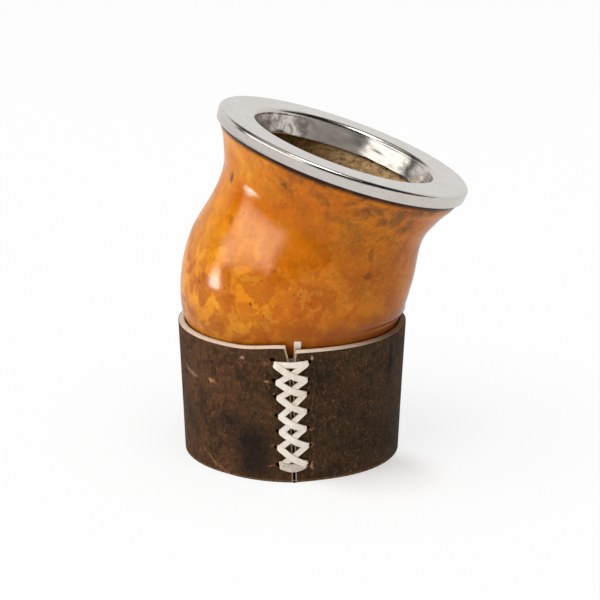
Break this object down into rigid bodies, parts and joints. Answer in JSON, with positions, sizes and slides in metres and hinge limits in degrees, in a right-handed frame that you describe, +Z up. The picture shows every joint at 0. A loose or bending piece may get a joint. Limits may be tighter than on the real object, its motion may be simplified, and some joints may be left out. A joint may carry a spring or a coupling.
{
  "type": "mate cup",
  "caption": "Leaning lacquered gourd cup with a wide spun-metal rim, standing in a flared leather ring closed by a crossed leather lace.",
  "frame": {"origin": "centre of the leather ring's foot, on the surface that the cup stands on", "axes": "+Z up, +X the way the neck leans, -Y the laced seam of the ring"},
  "size_m": [0.0998, 0.09, 0.1227],
  "materials": {
    "gourd_shell": "glossy amber lacquer outside, bare fibrous wall inside",
    "rim_metal": "polished spun sheet",
    "dark_leather": "waxed, scuffed, pale cut edges",
    "pale_thong": "matt natural rawhide"
  },
  "bodies": {
    "root": {"gourd": "gourd_shell", "rim": "rim_metal", "leather_band": "dark_leather", "lace": "pale_thong"}
  },
  "joints": []
}
